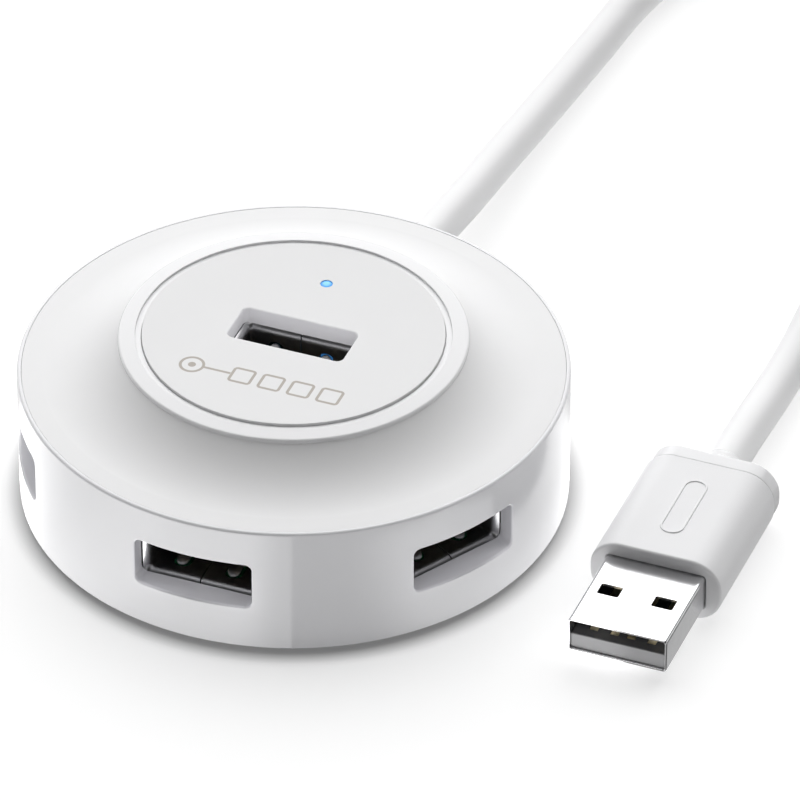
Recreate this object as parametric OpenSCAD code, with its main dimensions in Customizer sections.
// Round desktop USB hub: a glossy drum with three ports round its front, one more in its raised
// centre, a fixed cable out of the back and a type A plug on the cable's free end.
// Origin: bottom centre, on the drum's axis. +Z is up, +Y is the cable side, -Y the middle side port.
// All dimensions are in millimetres.

/* [Drum] */
// Radius of the drum over its glossy wall
drum_r = 32; // [31:0.1:34]
// Height of the glossy wall's top edge above the desk
rim_z = 17.3; // [16.6:0.1:18]
// Thickness of the glossy wall
wall_t = 2; // [1.8:0.1:2.2]
// Height of the centre disc's face above the desk
disc_z = 22.05; // [21.8:0.05:22.6]

/* [Raised centre] */
// Outer radius of the glossy bezel ring
bezel_r = 20.3; // [19.8:0.1:20.6]
// Radius of the matte centre disc
disc_r = 17.53; // [17.2:0.01:17.6]
// Width of the groove between disc and bezel
groove_w = 0.75; // [0.5:0.05:1]
// Radius at which the flare runs out flat
flare_r = 29.3; // [28.8:0.1:29.6]

/* [Ports] */
// Width of each port opening in the casing
port_w = 14.3; // [14.2:0.1:14.8]
// Height of each port opening in the casing
port_h = 5.9; // [5.8:0.1:6.2]
// Height of the side ports' centres above the desk
port_z = 9.5; // [9.3:0.1:9.7]
// Distance from the drum's axis to the side sockets' mouths
mouth_r = 29.1; // [29:0.1:29.4]
// Angle between neighbouring side ports
port_step = 60; // [58:1:62]

/* [Cable] */
// Diameter of the cable
cable_d = 4.8; // [4.6:0.1:5]
// Height of the cable's outlet above the desk
outlet_z = 7.2; // [7:0.1:7.4]

/* [Plug] */
// Place of the plug's middle across the desk
plug_x = 47.2; // [46:0.1:50]
// Place of the overmould's front face
plug_y = -7; // [-9:0.1:-5]
// Width of the overmould
grip_w = 16; // [15.6:0.1:16.4]
// Thickness of the overmould
grip_h = 8.2; // [8:0.1:8.6]

/* [Hidden] */

$fn = 96;
e = 0.02; // overrun of a cutting tool

// base and feet
foot_z = 0.8; // underside of the casing
foot_r = 4;
foot_at = 24.5;
foot_seat = 0.6; // depth of the foot's seat in the plate
foot_angles = [0, 90, 180, 270];
plate_t = 2;
plate_top = foot_z + plate_t;
plate_r = drum_r - wall_t - 0.15;
plate_rim_h = 1.4;
plate_rim_t = 1.6;
screw_at = 25;
screw_angles = [-60, -120, 50, 130];
screw_r = 0.96;
screw_head_r = 2.1;
boss_r = 2.4;
pilot_r = 1;
gloss_edge = 0.35; // rounding of the glossy pieces' edges

// board
board_t = 1.6;
shell_h = 5.7;
board_top = port_z - shell_h / 2;
board_z = board_top - board_t;
board_r = 27.5;
post_at = 22;
post_angles = [-70, -110, 20, 160];
port_angles = [-port_step, 0, port_step];
pin_hole_d = 1;

// type A socket: the shell's outside, its wall and the cavity inside
shell_w = 13.1;
shell_t = 0.3;
socket_l = 13.4;
lip_w = 14;
lip_h = 6.2;
lip_l = 0.9;
seam_w = 0.12;
tongue_w = 11.1;
tongue_t = 1.84;
tongue_z = 0; // the tongue's contact face, above the socket's middle
tongue_tip = 1.3; // set back behind the mouth
block_y = 9.4; // where the insulator's solid block starts
block_l = 3.2;
contact_w = 1;
contact_t = 0.25;
contact_x = [-3.5, -1, 1, 3.5];
pin_w = 0.6;
top_mouth_z = 20.05;
top_port_y = -0.3;

// raised centre
seat_z = 21.3; // top of the flare, where the bezel lies
seat_t = 1.4;
bezel_in_z = 22;
bezel_out_z = 21.79;
flare_z = 17.4;
bezel_in = disc_r + groove_w;
cover_t = 1.6;
cover_edge = 31.45;
ledge_z = rim_z - 1.2;
ledge_t = 1.6;
skirt_r = 28.4;
flare_rho = (pow(flare_r - bezel_r, 2) + pow(seat_z - flare_z, 2)) / (2 * (seat_z - flare_z));
flare_mid = flare_z + flare_rho;
flare_end = asin((flare_r - bezel_r) / flare_rho);
under_rho = flare_rho + cover_t;
under_end = acos((flare_mid - seat_z + seat_t) / under_rho);
pipe_y = 10.3;
pipe_r = 0.7;

// outlet
outlet_r = 3.4;
flange_r = 4.2;
flange_y = 28.2;
boot_end = 38;
clamp_y = 24;
clamp_screw_x = 4.8;
jacket_y = 20.5;
wire_r = 0.5;

// plug
grip_l = 18.3;
grip_r = 3.7;
collar_l = 2.3;
neck_l = 2.6;
neck_r = 3.7;
plug_z = grip_h / 2;
plug_shell_w = 12;
plug_shell_h = 4.5;
plug_reach = 12.7;
plug_tail = 3;
window_w = 2.6;
window_l = 1.95;
window_x = 3.28;
window_y = 5.6;

// coil: two layers of flat spiral, seen as one plain ring
coil_x = 77.7;
coil_y = 80;
coil_out = 32.9;
coil_in = 16.1;
coil_h = 9.7;

// routes of the two open stretches of cable, through points chosen by hand
cable_sides = 10;
hub_route = [[0, 38, 7.2], [0.4, 46, 6.4], [0.7, 54, 5.4], [0.9, 64, 4.2], [1.3, 74, 3.2],
    [1.9, 84, 2.6], [2.7, 94, 2.4], [3.6, 104, 2.4], [6, 114, 2.4], [11, 122, 2.4],
    [18.8, 127, 2.4], [28, 128, 2.4], [36.6, 125, 2.4], [43, 118.8, 2.4], [46.5, 110.4, 2.4],
    [47.2, 100.4, 2.4], [47.2, 90, 2.4], [47.2, 80, 2.4]];
plug_route = [[47.2, 80, 7.3], [46.8, 68, 6], [46.8, 56, 4], [47, 44, 2.7], [47, 34, 2.6],
    [47.1, 25, 3.5], [47.2, 16.2, 4.1]];

// ---------- shared shapes ----------

// flat rectangle with round corners, centred
module soft_rect(w, h, r) {
    square([w - 2 * r, h], center = true);
    square([w, h - 2 * r], center = true);
    for (sx = [-1, 1], sy = [-1, 1])
        translate([sx * (w / 2 - r), sy * (h / 2 - r)]) circle(r);
}

// soft_rect pushed along +Y from y = 0, its width along X and its height along Z
module soft_bar(w, h, r, l) {
    rotate([-90, 0, 0]) linear_extrude(l) soft_rect(w, h, r);
}

// a copy of the children at each side port, for sockets drawn with their mouth at y = 0
module at_port(angle) {
    rotate(angle) translate([0, -mouth_r, port_z]) children();
}

// the same socket standing upright, its mouth facing up
module at_top_port() {
    translate([0, top_port_y, top_mouth_z]) rotate([-90, 0, 180]) children();
}

module ring_of(angles, r) {
    for (a = angles) rotate(a) translate([r, 0, 0]) children();
}

// points along an arc in the r-z half plane
function arc(cr, cz, rho, a0, a1, n) =
    [for (i = [0:n]) let (a = a0 + (a1 - a0) * i / n) [cr + rho * sin(a), cz - rho * cos(a)]];

// ---------- swept cable ----------

// one smooth point between b and c, with a and d the points either side of them
function between(a, b, c, d, t) =
    0.5 * (2 * b + (c - a) * t + (2 * a - 5 * b + 4 * c - d) * t * t
        + (3 * b - a - 3 * c + d) * t * t * t);
function clamp_index(i, p) = max(0, min(len(p) - 1, i));
function smooth(p, steps) = concat(
    [for (i = [0:len(p) - 2], k = [0:steps - 1])
        between(p[clamp_index(i - 1, p)], p[i], p[i + 1], p[clamp_index(i + 2, p)], k / steps)],
    [p[len(p) - 1]]);
function unit(v) = v / norm(v);
// the sweep's end faces are square to Y, where the route meets a flat face
function heading(p, i) = i == 0 ? unit([0, p[1][1] - p[0][1], 0])
    : i == len(p) - 1 ? unit([0, p[i][1] - p[i - 1][1], 0])
    : unit(p[i + 1] - p[i - 1]);
function ring_point(c, dir, r, a) =
    let (side = unit(cross(dir, [0, 0, 1])), up = cross(side, dir))
    c + r * (cos(a) * side + sin(a) * up);

module cable(route, steps) {
    p = smooth(route, steps);
    n = cable_sides;
    rings = len(p);
    pts = [for (i = [0:rings - 1], k = [0:n - 1])
        ring_point(p[i], heading(p, i), cable_d / 2, 360 * (k + 0.5) / n)];
    sides = [for (i = [0:rings - 2], k = [0:n - 1]) let (j = (k + 1) % n)
        [i * n + k, i * n + j, (i + 1) * n + j, (i + 1) * n + k]];
    first = [for (k = [n - 1:-1:0]) k];
    last = [for (k = [0:n - 1]) (rings - 1) * n + k];
    polyhedron(pts, concat([first], sides, [last]));
}

// ---------- casing ----------

module base_plate() {
    color("gainsboro") difference() {
        union() {
            translate([0, 0, foot_z]) cylinder(r = plate_r, h = plate_t);
            // rim that finds the glossy wall
            translate([0, 0, plate_top - e]) difference() {
                cylinder(r = plate_r - 0.15, h = plate_rim_h);
                translate([0, 0, -1]) cylinder(r = plate_r - 0.15 - plate_rim_t, h = plate_rim_h + 2);
            }
            // posts under the board
            ring_of(post_angles, post_at)
                translate([0, 0, plate_top - e]) cylinder(r = 2, h = board_z - plate_top + e);
        }
        // gap in the rim behind the cable's outlet
        translate([-6, plate_r - 4, plate_top]) cube([12, 8, 4]);
        ring_of(screw_angles, screw_at) {
            translate([0, 0, foot_z - e]) cylinder(r = screw_head_r + 0.3, h = 1);
            translate([0, 0, foot_z - e]) cylinder(r = screw_r + 0.29, h = plate_t + 1);
        }
        ring_of(foot_angles, foot_at)
            translate([0, 0, foot_z - e]) cylinder(r = foot_r + 0.1, h = foot_seat + e);
        // shallow blank bed for a rating label
        translate([0, 0, foot_z - e]) linear_extrude(0.25 + e) soft_rect(26, 13, 2);
        // vent slots
        for (x = [-1, 1], k = [-1:1])
            translate([x * 9, 12 + k * 3, foot_z - e]) linear_extrude(plate_t + 1)
                soft_rect(8, 1.2, 0.5);
    }
}

module rubber_feet() {
    round = 0.4;
    foot_h = foot_z + foot_seat;
    color("silver") ring_of(foot_angles, foot_at) rotate_extrude() {
        square([foot_r - round, foot_h]);
        translate([0, round]) square([foot_r, foot_h - round]);
        translate([foot_r - round, round]) intersection() {
            circle(round);
            translate([0, -round]) square(round);
        }
    }
}

module base_screws() {
    color("silver") ring_of(screw_angles, screw_at) difference() {
        union() {
            translate([0, 0, foot_z + 0.1]) cylinder(r = screw_head_r, h = 0.88);
            translate([0, 0, foot_z + 0.9]) cylinder(r = screw_r, h = 8);
        }
        for (a = [0, 90]) rotate(a)
            translate([-1.2, -0.25, foot_z]) cube([2.4, 0.5, 0.6]);
    }
}

module side_wall() {
    inner_r = drum_r - wall_t;
    pad_w = 19;
    pad_h = 9.8;
    pad_y = drum_r - 0.9;
    color("white") difference() {
        union() {
            rotate_extrude($fn = 180) difference() {
                union() {
                    translate([inner_r, foot_z]) square([wall_t - gloss_edge, rim_z - foot_z]);
                    translate([inner_r, foot_z + gloss_edge])
                        square([wall_t, rim_z - foot_z - 2 * gloss_edge]);
                    for (z = [foot_z + gloss_edge, rim_z - gloss_edge])
                        translate([drum_r - gloss_edge, z]) circle(gloss_edge);
                }
                // ledge that carries the matte top
                translate([inner_r - 1, ledge_z]) square([cover_edge + 0.05 - inner_r + 1, 3]);
            }
            // flat pads inside, where the sockets' mouths butt
            for (a = port_angles) rotate(a)
                intersection() {
                    translate([-pad_w / 2, -pad_y, port_z - pad_h / 2]) cube([pad_w, pad_y - mouth_r, pad_h]);
                    cylinder(r = drum_r - 0.5, h = 20);
                }
        }
        for (a = port_angles) rotate(a)
            translate([0, -drum_r - 1, port_z]) soft_bar(port_w, port_h, 0.8, 6);
        translate([0, inner_r - 1, outlet_z]) rotate([-90, 0, 0]) cylinder(r = outlet_r + 0.05, h = 4);
    }
}

module top_cover() {
    color("whitesmoke") difference() {
        union() {
            rotate_extrude($fn = 180) polygon(concat(
                [[disc_r + 0.07, seat_z], [disc_r + 0.07, seat_z - seat_t]],
                arc(flare_r, flare_mid, under_rho, -under_end, 0, 16),
                [[skirt_r, flare_z - cover_t], [skirt_r, ledge_z - ledge_t],
                    [drum_r - wall_t - 0.1, ledge_z - ledge_t], [drum_r - wall_t - 0.1, ledge_z],
                    [cover_edge, ledge_z], [cover_edge, rim_z]],
                arc(flare_r, flare_mid, flare_rho, 0, -flare_end, 24)));
            // screw bosses, which stand on the base plate
            ring_of(screw_angles, screw_at)
                translate([0, 0, plate_top + 0.05]) cylinder(r = boss_r, h = 14);
        }
        ring_of(screw_angles, screw_at) translate([0, 0, plate_top]) cylinder(r = pilot_r, h = 8);
    }
}

// the ring's face falls a little outwards; a step below its inner edge is the groove's floor
module bezel_ring() {
    groove_z = seat_z + 0.4;
    color("white") rotate_extrude($fn = 180) polygon(concat(
        [[disc_r + 0.07, seat_z], [disc_r + 0.07, groove_z], [bezel_in, groove_z], [bezel_in, bezel_in_z]],
        [for (a = [84:-14:0])
            [bezel_r - gloss_edge + gloss_edge * cos(a), bezel_out_z - gloss_edge + gloss_edge * sin(a)]],
        [[bezel_r, seat_z]]));
}

module centre_disc() {
    under_z = seat_z - seat_t;
    color("whitesmoke") difference() {
        union() {
            translate([0, 0, under_z]) cylinder(r = disc_r, h = disc_z - under_z, $fn = 180);
            // flange glued under the cover
            translate([0, 0, under_z - 1]) cylinder(r = disc_r + 1.4, h = 1, $fn = 180);
        }
        translate([0, top_port_y, under_z - 2]) linear_extrude(6)
            soft_rect(port_w + 0.15, port_h + 0.3, 0.8);
        translate([0, pipe_y, 10]) cylinder(r = pipe_r + 0.05, h = 20);
    }
}

// clear rod that carries the lamp's light up to the disc
module light_pipe() {
    color("deepskyblue") translate([0, pipe_y, 0]) union() {
        translate([0, 0, board_top + 1.4]) cylinder(r = pipe_r, h = disc_z - board_top - 1.45);
        translate([0, 0, seat_z - seat_t - 1.8]) cylinder(r = 1.8, h = 0.8);
    }
}

// ---------- electronics ----------

module main_board() {
    color("seagreen") difference() {
        translate([0, 0, board_z]) cylinder(r = board_r, h = board_t);
        ring_of(screw_angles, screw_at)
            translate([0, 0, board_z - 1]) cylinder(r = boss_r + 0.3, h = 4);
        // room for the cable's clamp
        translate([-8, jacket_y - 0.5, board_z - 1]) cube([16, 12, 4]);
        // pin holes
        for (a = port_angles) rotate(a) for (x = contact_x)
            translate([x, -mouth_r + socket_l + 0.4, board_z - 1]) cylinder(d = pin_hole_d, h = 4);
        for (x = contact_x)
            translate([x, top_port_y + 0.22, board_z - 1]) cylinder(d = pin_hole_d, h = 4);
    }
}

module hub_chip() {
    side = 7;
    lead_w = 0.3;
    lead_step = 0.85;
    color("dimgray") translate([11, 6, board_top]) {
        translate([-side / 2, -side / 2, 0.15]) cube([side, side, 1.25]);
        for (a = [0:90:270]) rotate(a) for (k = [-3:3])
            translate([k * lead_step - lead_w / 2, side / 2 - e, 0]) cube([lead_w, 0.9, lead_w]);
    }
}

module crystal() {
    color("silver") translate([-11, 6, board_top]) linear_extrude(3.5) soft_rect(11, 4.6, 2.2);
}

module capacitors() {
    color("slategray") for (p = [[-17, 11], [17, 11], [-21, 3], [21, 3]])
        translate([p[0], p[1], board_top]) {
        cylinder(r = 2, h = 4.6);
        translate([-2.1, -2.1, 0]) cube([4.2, 4.2, 0.6]);
    }
}

module resistors() {
    color("black") for (k = [0:4], s = [-1, 1]) translate([s * (5.5 + 2.1 * k), 12.5, board_top])
        cube([0.9, 1.6, 0.5]);
}

module status_led() {
    color("lightskyblue") translate([-0.8, pipe_y - 0.6, board_top]) cube([1.6, 1.2, 0.8]);
}

module cable_header() {
    color("white") translate([0, 17, board_top]) difference() {
        translate([-5, -2, 0]) cube([10, 4, 4]);
        translate([-4.2, -1.2, 1]) cube([8.4, 4, 2.4]);
    }
}

// ---------- sockets: mouth at y = 0 facing -Y, depth along +Y, tongue towards +Z ----------

module socket_shell() {
    cavity_w = shell_w - 2 * shell_t;
    cavity_h = shell_h - 2 * shell_t;
    color("silver") difference() {
        union() {
            translate([0, 0.5, 0]) soft_bar(shell_w, shell_h, 0.5, socket_l - 0.5);
            hull() {
                soft_bar(lip_w, lip_h, 0.6, 0.25, $fn = 32);
                translate([0, lip_l - 0.05, 0]) soft_bar(shell_w, shell_h, 0.5, 0.05, $fn = 32);
            }
        }
        translate([0, -1, 0]) soft_bar(cavity_w, cavity_h, 0.3, socket_l - shell_t + 1);
        hull() {
            translate([0, -0.3, 0]) soft_bar(lip_w - 2 * shell_t, lip_h - 2 * shell_t, 0.5, 0.3, $fn = 32);
            translate([0, lip_l, 0]) soft_bar(cavity_w - e, cavity_h - e, 0.3, 0.1, $fn = 32);
        }
        // the pins leave through the back
        translate([-4.5, socket_l - 1, -shell_h]) cube([9, 2, shell_h + tongue_z + contact_t]);
        // seam of the folded sheet
        translate([-seam_w / 2, -1, -shell_h])
            cube([seam_w, socket_l + 2, shell_h / 2 + shell_t + 0.5]);
    }
}

module socket_insulator() {
    cavity_w = shell_w - 2 * shell_t;
    cavity_h = shell_h - 2 * shell_t;
    color("black") difference() {
        union() {
            translate([-cavity_w / 2, block_y, -cavity_h / 2]) cube([cavity_w, block_l, cavity_h]);
            translate([-tongue_w / 2, tongue_tip, tongue_z])
                cube([tongue_w, block_y - tongue_tip + e, tongue_t]);
        }
        for (x = contact_x)
            translate([x - contact_w / 2 - 0.05, block_y - e, tongue_z - contact_t - 0.05])
                cube([contact_w + 0.1, block_l + 1, contact_t + 0.05]);
        // sloped lead-in at the tongue's tip
        translate([-tongue_w, tongue_tip, tongue_z + tongue_t]) rotate([45, 0, 0])
            cube([2 * tongue_w, 0.6, 0.6]);
    }
}

// the four strips under the tongue, with the pins down to the board; the socket lies on the board
module socket_contacts(drop) {
    back = socket_l + 0.1;
    color("gold") for (x = contact_x) {
        contact_strip(x, back);
        translate([x - pin_w / 2, back - e, -drop]) cube([pin_w, pin_w, drop + tongue_z]);
    }
}

module contact_strip(x, end) {
    start = tongue_tip + 0.5;
    translate([x - contact_w / 2, start, tongue_z - contact_t]) cube([contact_w, end - start, contact_t]);
}

// the upright socket stands on the board, so its pins go straight on
module straight_contacts() {
    color("gold") for (x = contact_x) {
        contact_strip(x, socket_l);
        translate([x - pin_w / 2, socket_l - e, -0.45]) cube([pin_w, board_t + 0.9, 0.45]);
    }
}

module front_port_shell() at_port(0) socket_shell();
module front_port_insulator() at_port(0) socket_insulator();
module front_port_contacts() at_port(0) socket_contacts(port_z - board_z + 0.6);
module left_port_shell() at_port(-port_step) socket_shell();
module left_port_insulator() at_port(-port_step) socket_insulator();
module left_port_contacts() at_port(-port_step) socket_contacts(port_z - board_z + 0.6);
module right_port_shell() at_port(port_step) socket_shell();
module right_port_insulator() at_port(port_step) socket_insulator();
module right_port_contacts() at_port(port_step) socket_contacts(port_z - board_z + 0.6);
module top_port_shell() at_top_port() socket_shell();
module top_port_insulator() at_top_port() socket_insulator();
module top_port_contacts() at_top_port() straight_contacts();

// ---------- cable outlet ----------

module strain_relief() {
    color("white") translate([0, 0, outlet_z]) rotate([-90, 0, 0]) rotate_extrude() difference() {
        union() {
            translate([0, flange_y]) square([flange_r, drum_r - wall_t - 0.05 - flange_y]);
            translate([0, flange_y]) square([outlet_r, boot_end - flange_y - 1]);
            translate([0, 30]) square([outlet_r - 0.5, boot_end - 30]);
        }
        translate([-1, 27]) square([cable_d / 2 + 1, 20]);
        for (y = [33.2, 34.8]) translate([outlet_r - 0.4, y]) square([2, 0.7]);
    }
}

// jacket inside the casing, cut back where the wires part
module inner_cable_end() {
    color("white") translate([0, jacket_y, outlet_z]) rotate([-90, 0, 0])
        cylinder(r = cable_d / 2, h = boot_end - jacket_y);
}

module cable_clamp() {
    color("gainsboro") difference() {
        translate([-7, clamp_y - 2, plate_top]) cube([14, 4, outlet_z - plate_top + 3.4]);
        translate([0, clamp_y - 3, outlet_z]) rotate([-90, 0, 0]) cylinder(r = cable_d / 2, h = 6);
        for (s = [-1, 1])
            translate([s * clamp_screw_x, clamp_y, outlet_z - 1]) cylinder(r = 0.9, h = 10);
    }
}

module clamp_screws() {
    color("silver") for (s = [-1, 1]) translate([s * clamp_screw_x, clamp_y, outlet_z]) {
        cylinder(r = 0.86, h = 3.42);
        translate([0, 0, 3.4]) cylinder(r = 1.7, h = 1.1);
    }
}

// one thin wire from the cut jacket forward into the header
module wire(x) {
    wire_z = board_top + 2.2;
    translate([x, 18.2, wire_z]) rotate([-90, 0, 0]) cylinder(r = wire_r, h = 1.3, $fn = 24);
    hull() {
        translate([x, 19.5, wire_z]) sphere(wire_r, $fn = 16);
        translate([x * 0.3, 20, outlet_z]) sphere(wire_r, $fn = 16);
    }
}
module red_wire() color("red") wire(-3.3);
module white_wire() color("white") wire(-1.1);
module green_wire() color("green") wire(1.1);
module black_wire() color("black") wire(3.3);

// ---------- free cable and plug ----------

module cable_hub_run() color("white") cable(hub_route, 4);

module cable_plug_run() color("white") cable(plug_route, 4);

module cable_coil() {
    color("white") translate([coil_x, coil_y, 0]) rotate_extrude() translate([coil_in, 0])
        square([coil_out - coil_in, coil_h]);
}

module at_plug(y) {
    translate([plug_x, y, plug_z]) children();
}

module plug_overmould() {
    color("white") difference() {
        at_plug(plug_y) soft_bar(grip_w, grip_h, grip_r, grip_l);
        at_plug(plug_y - 1) soft_bar(plug_shell_w, plug_shell_h, 0.5, plug_tail + 1);
    }
}

module plug_collar() {
    color("white") at_plug(plug_y + grip_l) difference() {
        soft_bar(grip_w - 0.2, grip_h - 0.2, grip_r - 0.1, collar_l);
        translate([0, collar_l - 0.4, 0]) difference() {
            soft_bar(grip_w + 1, grip_h + 1, grip_r, 1);
            translate([0, -1, 0]) soft_bar(grip_w - 1, grip_h - 1, grip_r - 0.5, 3);
        }
    }
}

module plug_neck() {
    color("white") at_plug(plug_y + grip_l + collar_l) rotate([-90, 0, 0]) rotate_extrude()
        polygon([[0, 0], [neck_r, 0], [neck_r - 0.5, 0.7], [neck_r - 0.9, 1.6],
            [cable_d / 2 + 0.25, neck_l], [0, neck_l]]);
}

module plug_shell() {
    shell_len = plug_reach + plug_tail;
    color("silver") difference() {
        at_plug(plug_y - plug_reach) soft_bar(plug_shell_w, plug_shell_h, 0.5, shell_len);
        at_plug(plug_y - plug_reach - 1)
            soft_bar(plug_shell_w - 2 * shell_t, plug_shell_h - 2 * shell_t, 0.3, shell_len + 1 - shell_t);
        for (s = [-1, 1]) at_plug(plug_y - plug_reach + window_y)
            translate([s * window_x - window_w / 2, 0, -plug_shell_h])
                cube([window_w, window_l, 2 * plug_shell_h]);
    }
}

module plug_insulator() {
    w = plug_shell_w - 2 * shell_t;
    h = plug_shell_h - 2 * shell_t;
    color("gainsboro") at_plug(plug_y - plug_reach) difference() {
        union() {
            translate([-w / 2, 0.4, -h / 2]) cube([w, plug_reach - 2.4, h / 2]);
            translate([-w / 2, plug_reach - 2.2, -h / 2]) cube([w, plug_tail + 1.7, h]);
        }
        for (x = contact_x) translate([x - contact_w / 2, 1.8, -0.3]) cube([contact_w, plug_reach, 0.31]);
    }
}

module plug_contacts() {
    color("gold") at_plug(plug_y - plug_reach) for (x = contact_x)
        translate([x - contact_w / 2, 1.8, -0.3]) cube([contact_w, plug_reach - 4, 0.28]);
}

base_plate();
rubber_feet();
base_screws();
side_wall();
top_cover();
bezel_ring();
centre_disc();
light_pipe();
main_board();
hub_chip();
crystal();
capacitors();
resistors();
status_led();
cable_header();
front_port_shell();
front_port_insulator();
front_port_contacts();
left_port_shell();
left_port_insulator();
left_port_contacts();
right_port_shell();
right_port_insulator();
right_port_contacts();
top_port_shell();
top_port_insulator();
top_port_contacts();
strain_relief();
cable_clamp();
clamp_screws();
inner_cable_end();
red_wire();
white_wire();
green_wire();
black_wire();
cable_hub_run();
cable_coil();
cable_plug_run();
plug_overmould();
plug_collar();
plug_neck();
plug_shell();
plug_insulator();
plug_contacts();
